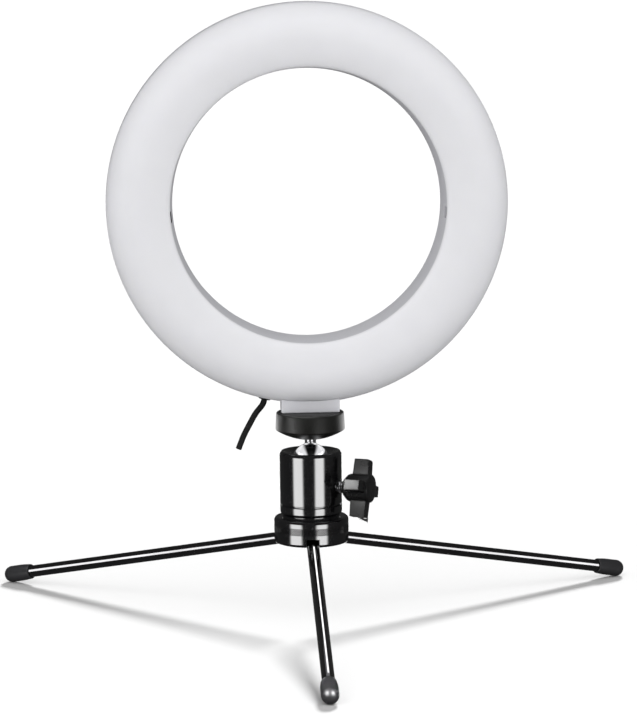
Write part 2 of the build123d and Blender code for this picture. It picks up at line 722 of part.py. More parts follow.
# ---- Assembly ----
def build_parts():
    """Every node by name; a list is a group of identical separate pieces."""
    parts = {
        "hub_shell": hub_shell(),
        "leg_block": leg_block(),
        "pivot_pins": pivot_pins(),
        "leg_retainer": leg_retainer(),
        "retainer_screw": retainer_screw(),
        "hub_stud": hub_stud(),
        "ball_head_base": ball_head_base(),
        "ball_housing": ball_housing(),
        "ball_cup": ball_cup(),
        "clamp_plunger": clamp_plunger(),
        "lock_screw": lock_screw(),
        "knob_grip": knob_grip(),
        "ball_stud": ball_stud(),
        "mount_disc": mount_disc(),
        "disc_pad": disc_pad(),
        "front_diffuser": front_diffuser(),
        "back_shell": back_shell(),
        "threaded_insert": threaded_insert(),
        "led_board": led_board(),
        "warm_leds": led_circle(WARM_CIRCLE_R, 0),
        "cool_leds": led_circle(COOL_CIRCLE_R, 180 / LEDS_PER_COLOUR),
        "chip_resistors": chip_resistors(),
        "shell_screws": shell_screws(),
        "cable_grommet": cable_grommet(),
        "usb_cable": usb_cable(),
        "lead_wires": lead_wires(),
    }
    for side, azimuth in LEG_AZIMUTHS.items():
        parts[f"leg_rod_{side}"] = leg_rod(azimuth)
        parts[f"foot_cap_{side}"] = foot_cap(azimuth)
    return parts


os.makedirs("parts", exist_ok=True)
for name, shape in build_parts().items():
    pieces = shape if isinstance(shape, list) else [shape]
    solids = [solid for piece in pieces for solid in piece.solids()]
    export_step(Compound(solids) if len(solids) > 1 else solids[0], f"parts/{name}.step")
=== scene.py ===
import bpy
import bmesh
import json
import math
from collections import namedtuple
from mathutils import Matrix, Vector


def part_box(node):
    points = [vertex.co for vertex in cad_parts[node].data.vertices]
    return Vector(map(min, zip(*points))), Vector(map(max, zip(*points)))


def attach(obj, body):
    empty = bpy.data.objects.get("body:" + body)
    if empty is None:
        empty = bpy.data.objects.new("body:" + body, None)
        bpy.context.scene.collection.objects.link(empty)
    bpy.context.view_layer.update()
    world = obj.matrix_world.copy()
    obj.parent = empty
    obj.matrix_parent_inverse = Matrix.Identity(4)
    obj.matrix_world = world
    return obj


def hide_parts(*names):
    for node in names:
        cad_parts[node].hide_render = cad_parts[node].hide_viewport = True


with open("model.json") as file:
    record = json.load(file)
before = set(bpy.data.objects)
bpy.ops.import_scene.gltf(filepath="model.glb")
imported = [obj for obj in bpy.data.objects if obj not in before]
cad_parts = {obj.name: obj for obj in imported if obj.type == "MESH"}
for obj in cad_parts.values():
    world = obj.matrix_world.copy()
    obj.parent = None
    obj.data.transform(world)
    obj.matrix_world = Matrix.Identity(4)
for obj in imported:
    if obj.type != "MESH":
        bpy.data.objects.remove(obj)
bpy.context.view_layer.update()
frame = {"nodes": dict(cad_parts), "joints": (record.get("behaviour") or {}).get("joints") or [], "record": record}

# Profiles and sizes below are in millimetres; MM turns them into the scene's metres.
MM = 0.001

# ---- Finer sizes that the frame doesn't hold ----
# Milky cover
COVER_WALL = 1.6
COVER_LIP_WALL = 1.1
COVER_LIP_LENGTH = 1.6
COVER_LIP_ROOT = 3.5       # how far the outer lip reaches into the cover
COVER_DEPTH = 9.1          # from the cover's inner edge back to its outer edge
COVER_EDGE = 0.12          # broken edge where the cover meets the shell
CREST_R = 66.0
CREST_RISE = 3.4           # how far the dome's crest stands in front of its inner edge
POST_R = 1.8
POST_END = 5.0
POST_CORE_R = 0.9
POST_CORE_END = -1.0

# Rear shell with its tab
SHELL_CORNER_OUT = 3.0
SHELL_CORNER_IN = 4.4
SHELL_DRAFT = 0.0863
SEAM_GAP = 0.2
INNER_SEAM_GAP = 0.3
LATCH_DROP = 3.7
LATCH_HEIGHT = 4.5
LATCH_DEPTH = 5.5
BOARD_R = 58.9
BOARD_REST = 3.3
BOSS_R = 3.0
BOSS_POCKET_END = 5.1
SCREW_HEAD_R = 2.0
SCREW_HOLE_R = 1.15
SCREW_SINK_R = 2.2
SCREW_SINK_FLOOR = 8.0
TAB_WIDTH = 23.3
TAB_DEPTH = 10.0
TAB_TOP = 90.0
TAB_CORNER = 0.54
SOCKET_R = 4.9
CABLE_HOLE_R = 1.95

# Ball head
CAMERA_THREAD_R = 3.175
CAMERA_THREAD_PITCH = 1.27
CAMERA_THREAD_DEPTH = 0.55
CAMERA_THREAD_BORE_R = 3.23
NECK_R = 2.25
DISH_R = 25.5              # sphere that the lock wheel's underside is part of
WHEEL_BORE_WALL = 0.72     # how far the lock wheel's bore is inside the insert's outside
MOUTH_LIP_RISE = 3.6       # how far the housing's lip stands above the ball's centre
MOUTH_RIM = 1.5
MOUTH_BEVEL_WIDTH = 0.72
MOUTH_BEVEL_HEIGHT = 1.05
BASE_NECK_INSET = 1.1
BASE_NECK_HEIGHT = 1.03
BASE_BEVEL = 0.8
GROOVE_DEPTH = 0.8
GROOVE_HEIGHT = 0.5
LOCK_THREAD_PITCH = 0.8
LOCK_THREAD_DEPTH = 0.42
LOCK_HOLE_R = 2.5
KNOB_HUB_R = 5.65
KNOB_TIP_R = 11.6
KNOB_BORE_R = 2.46
KNOB_BORE_DEPTH = 8.65
KNOB_CELL = 0.17           # remeshing step that melts the wings' roots into the knob's hub
WING_THICKNESS = 4.5
WING_TAPER = 0.5
WING_ROLL = -17.0

# Table stand
KNURL_DIAMONDS = 96
KNURL_ROWS = 6
KNURL_LOW = 36.1
KNURL_HIGH = 38.7
KNURL_DEPTH = 0.3
KNURL_FLAT = 0.6           # share of each diamond that is left flat on top
HUB_CORNER = 1.5
HEX_HEAD_R = 5.6
HEX_HEAD_TOP = 39.85
LEG_SLOT_WIDTH = 5.2
LEG_SLOT_INNER_R = 4.8
LEG_SLOT_TOP = 34.55
PIVOT_HOLE_R = 1.03
FOOT_R = 3.4
FOOT_MOUTH_R = 3.07


# ---- Measuring the frame ----
Axis = namedtuple("Axis", "origin along side")
joints = {joint["name"]: joint for joint in frame["joints"]}


def joint_origin(name):
    """A hinge's point in millimetres."""
    return Vector(joints[name]["pos_m"]) / MM


def heights(node, axis):
    """How far each point of a CAD node lies along an axis, in millimetres."""
    return [(v.co / MM - axis.origin).dot(axis.along) for v in frame["nodes"][node].data.vertices]


def span(node, axis):
    """Lowest and highest reach of a CAD node along an axis."""
    values = heights(node, axis)
    return min(values), max(values)


def reach(node, axis):
    """Largest distance of a CAD node's points from an axis."""
    best = 0.0
    for v in frame["nodes"][node].data.vertices:
        offset = v.co / MM - axis.origin
        best = max(best, (offset - axis.along * offset.dot(axis.along)).length)
    return best


X, Y, Z = Vector((1, 0, 0)), Vector((0, 1, 0)), Vector((0, 0, 1))
opening_low, opening_high = frame["record"]["physics"]["openings"][0]["box_m"]
RING_Z = (opening_low[2] + opening_high[2]) / 2 / MM
UPRIGHT = Axis(Vector((0, 0, 0)), Z, X)
RING = Axis(Vector((0, 0, RING_Z)), Y, X)
BALL_Z = joint_origin("ball_tilt").z
knob_along = Vector(joints["lock_knob_turn"]["axis"]).normalized()
KNOB = Axis(joint_origin("lock_knob_turn"), knob_along, Z)


def leg_axis(side):
    """Axis of one leg, from its pivot down to the centre of its foot."""
    pivot = joint_origin(f"leg_{side}_fold")
    hinge = Vector(joints[f"leg_{side}_fold"]["axis"]).normalized()
    outward = hinge.cross(Z)
    toe = max((v.co / MM).dot(outward) for v in frame["nodes"][f"foot_cap_{side}"].data.vertices)
    foot = outward * (toe - FOOT_R) + Z * FOOT_R
    return Axis(pivot, (foot - pivot).normalized(), hinge)


# ---- Mesh tools ----
def point_on(axis, radius, height, angle):
    """Point in metres at a radius, height and angle about an axis."""
    other = axis.along.cross(axis.side)
    spoke = axis.side * math.cos(angle) + other * math.sin(angle)
    return (axis.origin + axis.along * height + spoke * radius) * MM


def to_object(name, mesh, sharp_angle=32.0):
    """Turns a finished bmesh into a smooth-shaded object with crisp edges above the given angle."""
    bmesh.ops.recalc_face_normals(mesh, faces=mesh.faces)
    data = bpy.data.meshes.new(name)
    mesh.to_mesh(data)
    mesh.free()
    piece = bpy.data.objects.new(name, data)
    bpy.context.scene.collection.objects.link(piece)
    shade(piece, sharp_angle)
    return piece


def shade(piece, sharp_angle=32.0):
    """Smooth shading with crisp edges above the given angle."""
    piece.data.shade_smooth()
    piece.data.set_sharp_from_angle(angle=math.radians(sharp_angle))


def join_rings(mesh, first, second):
    """Faces between two neighbouring rings of points, either of which may be a single pole."""
    count = max(len(first), len(second))
    if count == 1:
        return
    for i in range(count):
        j = (i + 1) % count
        if len(first) == 1:
            mesh.faces.new((first[0], second[i], second[j]))
        elif len(second) == 1:
            mesh.faces.new((first[j], first[i], second[0]))
        else:
            mesh.faces.new((first[j], first[i], second[i], second[j]))


def lathe(name, axis, profile, segments=96, ripple=None, sharp_angle=32.0):
    """Closed solid of revolution; ripple(angle, height) may add to the radius, as a thread does."""
    mesh = bmesh.new()
    rings = []
    for radius, height in profile:
        if radius < 1e-6:
            rings.append([mesh.verts.new(point_on(axis, 0, height, 0))])
            continue
        ring = []
        for i in range(segments):
            angle = math.tau * i / segments
            extra = ripple(angle, height) if ripple else 0.0
            ring.append(mesh.verts.new(point_on(axis, radius + extra, height, angle)))
        rings.append(ring)
    for first, second in zip(rings, rings[1:] + rings[:1]):
        join_rings(mesh, first, second)
    return to_object(name, mesh, sharp_angle)


def rounded(*corners, steps=5):
    """Profile loop; a corner given as (radius, height, size) is rounded off by that size."""
    points = []
    for i, (radius, height, *size) in enumerate(corners):
        here = Vector((radius, height))
        if not size:
            points.append((radius, height))
            continue
        before = Vector(corners[i - 1][:2])
        after = Vector(corners[(i + 1) % len(corners)][:2])
        start = here + (before - here).normalized() * size[0]
        end = here + (after - here).normalized() * size[0]
        for k in range(steps + 1):
            t = k / steps
            points.append(tuple(start * (1 - t) ** 2 + here * 2 * t * (1 - t) + end * t**2))
    return points


def arc(centre_r, centre_h, semi_r, semi_h, start, end, count):
    """Points along part of an ellipse in a profile; angles in degrees from the radius direction."""
    points = []
    for k in range(count + 1):
        angle = math.radians(start + (end - start) * k / count)
        points.append((centre_r + semi_r * math.cos(angle), centre_h + semi_h * math.sin(angle)))
    return points


def rod(name, axis, radius, low, high, segments=48):
    """Plain cylinder, or prism when it has few segments, used as a cutting or joining tool."""
    return lathe(name, axis, [(0, low), (radius, low), (radius, high), (0, high)], segments)


def round_edges(mesh, edges, size, steps):
    """Rounds off some edges of a mesh; size in millimetres."""
    bmesh.ops.bevel(mesh, geom=edges, offset=size * MM, segments=steps, affect="EDGES", profile=0.5)


def block(name, axis, centre, size, bevel=0.0, steps=3):
    """Box with rounded edges; centre and size run along the axis' side, across it, and along it."""
    across = axis.along.cross(axis.side)
    turn = Matrix((axis.side, across, axis.along)).transposed()
    mesh = bmesh.new()
    bmesh.ops.create_cube(mesh, size=1.0)
    for v in mesh.verts:
        local = Vector(v.co[k] * size[k] + centre[k] for k in range(3))
        v.co = (axis.origin + turn @ local) * MM
    if bevel:
        round_edges(mesh, mesh.edges[:], bevel, steps)
    return to_object(name, mesh)


def combine(target, tool, operation="DIFFERENCE"):
    """Cuts, joins or intersects a piece with a tool, and removes the tool."""
    step = target.modifiers.new("combine", "BOOLEAN")
    step.operation = operation
    step.solver = "EXACT"
    step.object = tool
    bake(target)
    bpy.data.objects.remove(tool)
    shade(target)
    return target


def bake(piece):
    """Applies a piece's modifiers to its mesh."""
    bpy.context.view_layer.update()
    evaluated = piece.evaluated_get(bpy.context.evaluated_depsgraph_get())
    data = bpy.data.meshes.new_from_object(evaluated)
    piece.modifiers.clear()
    piece.data = data


def shifted(axis, offset):
    """The same axis moved by an offset in millimetres."""
    return Axis(axis.origin + offset, axis.along, axis.side)


def finish_piece(piece, body, slot, finish, *nodes):
    """Gives a piece its material and its body, and hides the CAD nodes it stands for; slot is not used."""
    piece.data.materials.clear()
    piece.data.materials.append(finish)
    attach(piece, body)
    if nodes:
        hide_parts(*nodes)
    return piece


# ---- Materials ----
def link(tree, source, output, target, entry):
    """Wires one node's output to another node's input."""
    tree.links.new(source.outputs[output], target.inputs[entry])


def noise(tree, coordinates, size_mm, stretch=(1, 1, 1), detail=3.0):
    """Noise whose features are about size_mm across, stretched along the object's axes."""
    mapping = tree.nodes.new("ShaderNodeMapping")
    mapping.inputs["Scale"].default_value = stretch
    link(tree, coordinates, "Object", mapping, "Vector")
    texture = tree.nodes.new("ShaderNodeTexNoise")
    texture.inputs["Scale"].default_value = 1 / (size_mm * MM)
    texture.inputs["Detail"].default_value = detail
    link(tree, mapping, "Vector", texture, "Vector")
    return texture


def ramp(tree, source, output, low, high, to_low, to_high):
    """Maps one value range to another, clamped."""
    step = tree.nodes.new("ShaderNodeMapRange")
    step.inputs["From Min"].default_value = low
    step.inputs["From Max"].default_value = high
    step.inputs["To Min"].default_value = to_low
    step.inputs["To Max"].default_value = to_high
    link(tree, source, output, step, "Value")
    return step


def mix_colour(tree, factor, output, first, second):
    """Blend of two colours; each may be an RGB tuple or another mix node."""
    step = tree.nodes.new("ShaderNodeMix")
    step.data_type = "RGBA"
    link(tree, factor, output, step, "Factor")
    for entry, colour in (("A", first), ("B", second)):
        socket = next(s for s in step.inputs if s.name == entry and s.type == "RGBA")
        if isinstance(colour, tuple):
            socket.default_value = (*colour, 1.0)
        else:
            tree.links.new(colour.outputs[2], socket)
    return step


def material(
    name,
    colour,
    roughness,
    metallic=0.0,
    blotch=0.06,
    blotch_mm=14.0,
    grain_mm=0.3,
    grain_um=4.0,
    stretch=(1, 1, 1),
    rough_spread=0.05,
    wear=0.0,
    wear_colour=(0.5, 0.5, 0.5),
    scatter=0.0,
    ior=1.5,
):
    """Procedural finish: cloudy colour and gloss, a surface grain in micrometres, and worn edges."""
    made = bpy.data.materials.new(name)
    made.use_nodes = True
    tree = made.node_tree
    shader = tree.nodes["Principled BSDF"]
    coordinates = tree.nodes.new("ShaderNodeTexCoord")
    clouds = noise(tree, coordinates, blotch_mm, detail=5.0)
    darker = tuple(c * (1 - blotch) for c in colour)
    lighter = tuple(min(1.0, c * (1 + blotch)) for c in colour)
    tint = mix_colour(tree, ramp(tree, clouds, "Fac", 0.3, 0.7, 0, 1), "Result", darker, lighter)
    grain = noise(tree, coordinates, grain_mm, stretch)
    if wear:
        geometry = tree.nodes.new("ShaderNodeNewGeometry")
        edge = ramp(tree, geometry, "Pointiness", 0.52, 0.58, 0, wear)
        tint = mix_colour(tree, edge, "Result", tint, wear_colour)
    tree.links.new(tint.outputs[2], shader.inputs["Base Color"])
    gloss = noise(tree, coordinates, blotch_mm * 0.4, detail=6.0)
    smoothest = max(0.02, roughness - rough_spread)
    spread = ramp(tree, gloss, "Fac", 0.3, 0.7, smoothest, roughness + rough_spread)
    link(tree, spread, "Result", shader, "Roughness")
    bump = tree.nodes.new("ShaderNodeBump")
    bump.inputs["Distance"].default_value = grain_um * 1e-6
    link(tree, grain, "Fac", bump, "Height")
    link(tree, bump, "Normal", shader, "Normal")
    shader.inputs["Metallic"].default_value = metallic
    shader.inputs["IOR"].default_value = ior
    if scatter:
        shader.inputs["Subsurface Weight"].default_value = scatter
        shader.inputs["Subsurface Radius"].default_value = (1.0, 1.0, 1.1)
        shader.inputs["Subsurface Scale"].default_value = 3 * MM
    return made


MILKY = material(
    "milky_cover", (0.785, 0.785, 0.82), 0.45, blotch=0.012, grain_mm=0.5, grain_um=3, scatter=0.35,
)
SHELL = material(
    "shell_plastic", (0.59, 0.59, 0.62), 0.5, blotch=0.02, grain_mm=0.25, grain_um=12, scatter=0.15,
)
GLOSS_BLACK = material(
    "gloss_anodised", (0.004, 0.004, 0.0045), 0.12, blotch=0.2, grain_mm=0.12, grain_um=1.0,
    stretch=(0.02, 0.02, 1), rough_spread=0.02, wear=0.2, wear_colour=(0.05, 0.05, 0.05), ior=2.0,
)
BLACK_CHROME = material(
    "black_chrome", (0.16, 0.158, 0.161), 0.09, metallic=1.0, blotch=0.12, grain_mm=0.4, grain_um=0.8,
    rough_spread=0.02,
)
CHROME = material(
    "bright_chrome", (0.80, 0.80, 0.82), 0.06, metallic=1.0, blotch=0.03, grain_mm=0.5, grain_um=0.6,
    rough_spread=0.03,
)
DISC = material(
    "satin_disc", (0.008, 0.008, 0.007), 0.36, blotch=0.15, grain_mm=0.3, grain_um=4, wear=0.2,
    wear_colour=(0.09, 0.09, 0.08),
)
PAD = material("pad_rubber", (0.014, 0.014, 0.014), 0.7, blotch=0.2, grain_mm=0.4, grain_um=25)
KNOB_PLASTIC = material(
    "knob_plastic", (0.008, 0.008, 0.008), 0.30, blotch=0.15, grain_mm=0.2, grain_um=5, wear=0.3,
    wear_colour=(0.07, 0.07, 0.07),
)
CAP_RUBBER = material(
    "cap_rubber", (0.022, 0.022, 0.024), 0.40, blotch=0.15, grain_mm=0.25, grain_um=8, wear=0.3,
    wear_colour=(0.10, 0.10, 0.10),
)
CABLE = material("cable_pvc", (0.006, 0.006, 0.006), 0.40, blotch=0.2, grain_mm=0.35, grain_um=6)
STEEL = material("zinc_steel", (0.52, 0.52, 0.53), 0.30, metallic=1.0, blotch=0.1, grain_mm=0.2, grain_um=4)
CAST = material("cast_block", (0.10, 0.10, 0.105), 0.5, metallic=0.8, blotch=0.2, grain_mm=0.5, grain_um=25)
NYLON = material("nylon_seat", (0.72, 0.70, 0.63), 0.45, blotch=0.04, grain_mm=0.4, grain_um=6, scatter=0.2)
BRASS = material(
    "insert_brass", (0.70, 0.50, 0.20), 0.28, metallic=1.0, blotch=0.08, grain_mm=0.2, grain_um=4,
)
BOARD = material("white_board", (0.78, 0.80, 0.78), 0.38, blotch=0.03, grain_mm=0.5, grain_um=4)
WARM = material("led_warm", (0.85, 0.62, 0.18), 0.3, blotch=0.1, blotch_mm=1.5, grain_mm=0.2, grain_um=4)
COOL = material("led_cool", (0.88, 0.82, 0.42), 0.3, blotch=0.1, blotch_mm=1.5, grain_mm=0.2, grain_um=4)
CHIP = material("chip_black", (0.02, 0.02, 0.02), 0.4, blotch=0.2, blotch_mm=1.0, grain_mm=0.2, grain_um=4)
BLACK_ZINC = material(
    "black_zinc", (0.05, 0.05, 0.052), 0.32, metallic=0.9, blotch=0.2, grain_mm=0.2, grain_um=5,
)
WIRE = material("wire_pvc", (0.42, 0.02, 0.02), 0.4, blotch=0.1, grain_mm=0.3, grain_um=4)


def carry_over(node, finish):
    """Keeps a CAD node as it is, with a better finish."""
    slots = frame["nodes"][node].data.materials
    slots.clear()
    slots.append(finish)


# ---- Ring head ----
ring_r = reach("front_diffuser", RING)
cover_low, cover_high = span("front_diffuser", RING)
shell_high = span("back_shell", RING)[1]
inner_edge = cover_low + CREST_RISE
opening_r = min(
    math.hypot(v.co.x / MM, v.co.z / MM - RING_Z)
    for v in frame["nodes"]["front_diffuser"].data.vertices
)
seam = inner_edge + COVER_DEPTH


def post_axes():
    """Axes of the six screw posts, from 3 o'clock round the ring."""
    circle = reach("shell_screws", RING) - SCREW_HEAD_R
    axes = []
    for i in range(6):
        angle = math.tau * i / 6
        offset = Vector((math.cos(angle), 0, math.sin(angle))) * circle
        axes.append(shifted(RING, offset))
    return axes


def dome(inset, count):
    """Section of the domed cover from its inner edge over the crest to its rim."""
    inner = arc(CREST_R, inner_edge, CREST_R - opening_r - inset, CREST_RISE - inset, 180, 270, count)
    crest_h = inner_edge - CREST_RISE
    outer = arc(CREST_R, seam, ring_r - CREST_R - inset, seam - crest_h - inset, 270, 360, count)
    return inner[:-1] + outer


def diffuser_cover():
    """Milky dome with its two locating lips and six screw posts."""
    skin = dome(0, 28)
    wall = dome(COVER_WALL, 18)
    edge, bulge = COVER_EDGE, COVER_EDGE * 0.3
    skin[0] = (opening_r, inner_edge - edge)
    skin[-1] = (ring_r, seam - edge)
    rim_out = [(ring_r - bulge, seam - bulge), (ring_r - edge, seam)]
    rim_in = [(opening_r + edge, inner_edge), (opening_r + bulge, inner_edge - bulge)]
    cover = lathe("diffuser_cover", RING, skin + rim_out + wall[::-1] + rim_in, 288)
    lip_r = ring_r - COVER_WALL - 0.2
    outer_lip = rounded(
        (lip_r, seam - COVER_LIP_ROOT),
        (lip_r, seam + COVER_LIP_LENGTH, 0.25),
        (lip_r - COVER_LIP_WALL, seam + COVER_LIP_LENGTH, 0.25),
        (lip_r - COVER_LIP_WALL, seam - COVER_LIP_ROOT),
    )
    combine(cover, lathe("tool", RING, outer_lip, 288), "UNION")
    inner_lip_r = opening_r + COVER_WALL + 0.1
    inner_lip = rounded(
        (inner_lip_r, inner_edge - 1),
        (inner_lip_r + COVER_LIP_WALL, inner_edge - 1),
        (inner_lip_r + COVER_LIP_WALL, inner_edge + 2, 0.25),
        (inner_lip_r, inner_edge + 2, 0.25),
    )
    combine(cover, lathe("tool", RING, inner_lip, 288), "UNION")
    post_top = seam - 5.5
    for axis in post_axes():
        stem = rounded(
            (0, post_top),
            (POST_R, post_top),
            (POST_R, POST_END, 0.3),
            (POST_CORE_R, POST_END, 0.2),
            (POST_CORE_R, POST_CORE_END),
            (0, POST_CORE_END),
        )
        combine(cover, lathe("tool", axis, stem, 40), "UNION")
    socket_low, socket_high = span("threaded_insert", UPRIGHT)
    combine(cover, rod("tool", UPRIGHT, SOCKET_R + 0.1, socket_low - 2, socket_high + 1.0))
    relief = block("tool", UPRIGHT, (0, seam + 1.5, socket_low + 2.8), (TAB_WIDTH + 0.6, 3, 6.65))
    combine(cover, relief)
    combine(cover, latch_bar(6.2, inner_edge + 0.05, inner_edge + 6.5))
    finish_piece(cover, "light_head", "milky_diffuser", MILKY, "front_diffuser")


def latch_bar(overlap, low, high):
    """Bar across the opening that cuts a latch window at 3 and at 9 o'clock."""
    centre = (0, LATCH_DROP, (low + high) / 2)
    return block("tool", RING, centre, (2 * (opening_r + overlap), LATCH_HEIGHT, high - low))


def wall_r(height):
    """Radius of the ring's inner wall, which narrows towards the back."""
    return opening_r - SHELL_DRAFT * (height - inner_edge)


def rear_shell():
    """White rear channel with its tab, board rests, screw bosses, latch windows and cable hole."""
    rim = seam + SEAM_GAP
    lip = inner_edge + INNER_SEAM_GAP
    back = shell_high
    floor = back - COVER_WALL
    section = rounded(
        (ring_r, rim, 0.2),
        (ring_r, back, SHELL_CORNER_OUT),
        (wall_r(back), back, SHELL_CORNER_IN),
        (wall_r(lip), lip, 0.2),
        (wall_r(lip) + COVER_WALL, lip, 0.2),
        (wall_r(floor) + COVER_WALL, floor, SHELL_CORNER_IN - COVER_WALL),
        (ring_r - COVER_WALL, floor, SHELL_CORNER_OUT - COVER_WALL),
        (ring_r - COVER_WALL, rim, 0.2),
        steps=8,
    )
    shell = lathe("rear_shell", RING, section, 288)
    ledge_r = wall_r(BOARD_REST) + COVER_WALL / 2
    root = floor + 0.2
    ledge = [(ledge_r, BOARD_REST), (BOARD_R, BOARD_REST), (BOARD_R, root), (ledge_r, root)]
    combine(shell, lathe("tool", RING, ledge, 288), "UNION")
    for axis in post_axes():
        boss = rounded((0, BOARD_REST), (BOSS_R, BOARD_REST, 0.25), (BOSS_R, root), (0, root))
        combine(shell, lathe("tool", axis, boss, 40), "UNION")
        combine(shell, rod("tool", axis, POST_R + 0.1, BOARD_REST - 1, BOSS_POCKET_END, 40))
        combine(shell, rod("tool", axis, SCREW_HOLE_R, POST_END, back, 40))
        sink = [
            (0, SCREW_SINK_FLOOR),
            (SCREW_SINK_R, SCREW_SINK_FLOOR),
            (SCREW_SINK_R, back - 0.25),
            (SCREW_SINK_R + 0.4, back + 0.3),
            (0, back + 0.3),
        ]
        combine(shell, lathe("tool", axis, sink, 40))
    add_tab(shell)
    combine(shell, latch_bar(3.5, lip - 1, lip + LATCH_DEPTH))
    combine(shell, rod("tool", cable_exit(), CABLE_HOLE_R, ring_r - 2 * COVER_WALL, ring_r + 1))
    finish_piece(shell, "light_head", "shell_white", SHELL, "back_shell")


def add_tab(shell):
    """Joins the mounting tab and its round socket to the shell."""
    insert_high = span("threaded_insert", UPRIGHT)[1]
    tab_low = span("back_shell", UPRIGHT)[0]
    centre = (0, 0, (tab_low + TAB_TOP) / 2)
    tab = block("tool_tab", UPRIGHT, centre, (TAB_WIDTH, TAB_DEPTH, TAB_TOP - tab_low), TAB_CORNER, 5)
    filled = dome(-0.1, 28) + [(opening_r - 0.1, seam)]
    combine(tab, lathe("tool", RING, filled, 288))
    combine(shell, tab, "UNION")
    combine(shell, rod("tool", UPRIGHT, SOCKET_R, tab_low + 1, insert_high + 0.9, 64), "UNION")
    bore = reach("threaded_insert", UPRIGHT) + 0.05
    combine(shell, rod("tool", UPRIGHT, bore, tab_low - 1, insert_high + 0.1, 64))


def cable_exit():
    """Axis of the hole in the rim that the cable leaves through."""
    low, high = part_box("cable_grommet")
    centre = (low + high) / 2 / MM
    outward = Vector((centre.x, 0, centre.z - RING_Z)).normalized()
    return Axis(Vector((0, centre.y, RING_Z)), outward, Y)


diffuser_cover()
rear_shell()
for node, finish in {
    "threaded_insert": BRASS,
    "led_board": BOARD,
    "warm_leds": WARM,
    "cool_leds": COOL,
    "chip_resistors": CHIP,
    "shell_screws": BLACK_ZINC,
    "cable_grommet": CABLE,
    "usb_cable": CABLE,
    "lead_wires": WIRE,
}.items():
    carry_over(node, finish)


# ---- Ball head ----
def thread_ripple(pitch, depth, low, high):
    """Ripple for a right-hand thread between two heights."""

    def ripple(angle, height):
        if not low <= height <= high:
            return 0.0
        turn = (height / pitch - angle / math.tau) % 1.0
        run_out = min(1.0, (height - low) / pitch, (high - height) / pitch)
        return -depth * run_out * abs(2 * turn - 1)

    return ripple


def rows(radius, low, high, step):
    """Evenly spaced profile points up a cylinder."""
    count = max(1, math.ceil((high - low) / step))
    return [(radius, low + (high - low) * k / count) for k in range(count + 1)]


def lock_wheel():
    """Lock wheel with a domed underside and a rubber pad let into its top."""
    low, high = span("mount_disc", UPRIGHT)
    radius = reach("mount_disc", UPRIGHT)
    top_r = radius - 0.3
    bore = reach("threaded_insert", UPRIGHT) - WHEEL_BORE_WALL
    pad_low, pad_high = span("disc_pad", UPRIGHT)
    pad_r = reach("disc_pad", UPRIGHT)
    dish_centre = low + math.sqrt(DISH_R**2 - bore**2)
    first = math.degrees(math.asin(bore / DISH_R)) - 90
    last = math.degrees(math.asin((radius - 0.9) / DISH_R)) - 90
    rim_low = dish_centre - math.sqrt(DISH_R**2 - radius**2)
    dish = arc(0, dish_centre, DISH_R, DISH_R, first, last, 16)
    wheel = lathe("lock_wheel", UPRIGHT, rounded(
        *dish,
        (radius, rim_low, 0.5),
        (top_r, high, 0.9),
        (pad_r + 0.1, high, 0.15),
        (pad_r + 0.1, pad_low - 0.05),
        (bore, pad_low - 0.05, 0.2),
        steps=7,
    ), 160)
    finish_piece(wheel, "lock_wheel", "disc_black", DISC, "mount_disc")
    pad = lathe("rubber_pad", UPRIGHT, rounded(
        (bore + 0.3, pad_low, 0.1),
        (pad_r, pad_low, 0.15),
        (pad_r, pad_high, 0.2),
        (bore + 0.3, pad_high, 0.1),
    ), 128)
    finish_piece(pad, "pad", "pad_rubber", PAD, "disc_pad")


def ball_and_stud():
    """Polished ball, waisted neck and a cut 1/4-20 thread."""
    ball_r = BALL_Z - span("ball_stud", UPRIGHT)[0]
    top = span("ball_stud", UPRIGHT)[1]
    neck_top = span("mount_disc", UPRIGHT)[0] + 0.4
    thread_low, thread_high = neck_top + 0.9, top - 0.5
    neck_angle = math.degrees(math.acos(NECK_R / ball_r)) - 2.5
    ball = arc(0, BALL_Z, ball_r, ball_r, -90, neck_angle, 56)
    ball[0] = (0.0, BALL_Z - ball_r)
    meet = ball[-1][1]
    blend = [(NECK_R + 0.12, meet + 0.35), (NECK_R, meet + 0.75)]
    thread = rows(CAMERA_THREAD_R, thread_low, thread_high, CAMERA_THREAD_PITCH / 8)
    tip = [(CAMERA_THREAD_R - 0.5, top), (0.0, top)]
    ripple = thread_ripple(CAMERA_THREAD_PITCH, CAMERA_THREAD_DEPTH, thread_low, thread_high)
    profile = ball + blend + [(NECK_R, neck_top)] + thread + tip
    stud = lathe("ball_and_stud", UPRIGHT, profile, 96, ripple)
    finish_piece(stud, "ball_stud", "chrome_ball", CHROME, "ball_stud")


def housing():
    """Gloss black cylinder with a flared mouth over the ball."""
    low, high = span("ball_housing", UPRIGHT)
    radius = reach("ball_housing", UPRIGHT)
    bore = reach("ball_cup", UPRIGHT) + 0.1
    ball_r = BALL_Z - span("ball_stud", UPRIGHT)[0] + 0.07
    lip_r = math.sqrt(ball_r**2 - MOUTH_LIP_RISE**2)
    start = math.degrees(math.asin(MOUTH_LIP_RISE / ball_r))
    seat = arc(0, BALL_Z, ball_r, ball_r, start, 0, 16)
    outside = rounded(
        (bore, low, 0.1),
        (radius, low, 0.3),
        (radius, high - MOUTH_BEVEL_HEIGHT, 0.3),
        (radius - MOUTH_BEVEL_WIDTH, high, 0.25),
        (radius - MOUTH_RIM, high, 0.2),
        (lip_r, BALL_Z + MOUTH_LIP_RISE),
    )
    body = lathe("housing", UPRIGHT, outside + seat[1:] + [(bore, BALL_Z - 0.5)], 192)
    combine(body, rod("tool", KNOB, LOCK_HOLE_R, bore - 1.5, radius + 1, 64))
    finish_piece(body, "stand_and_housing", "black_anodised", GLOSS_BLACK, "ball_housing")


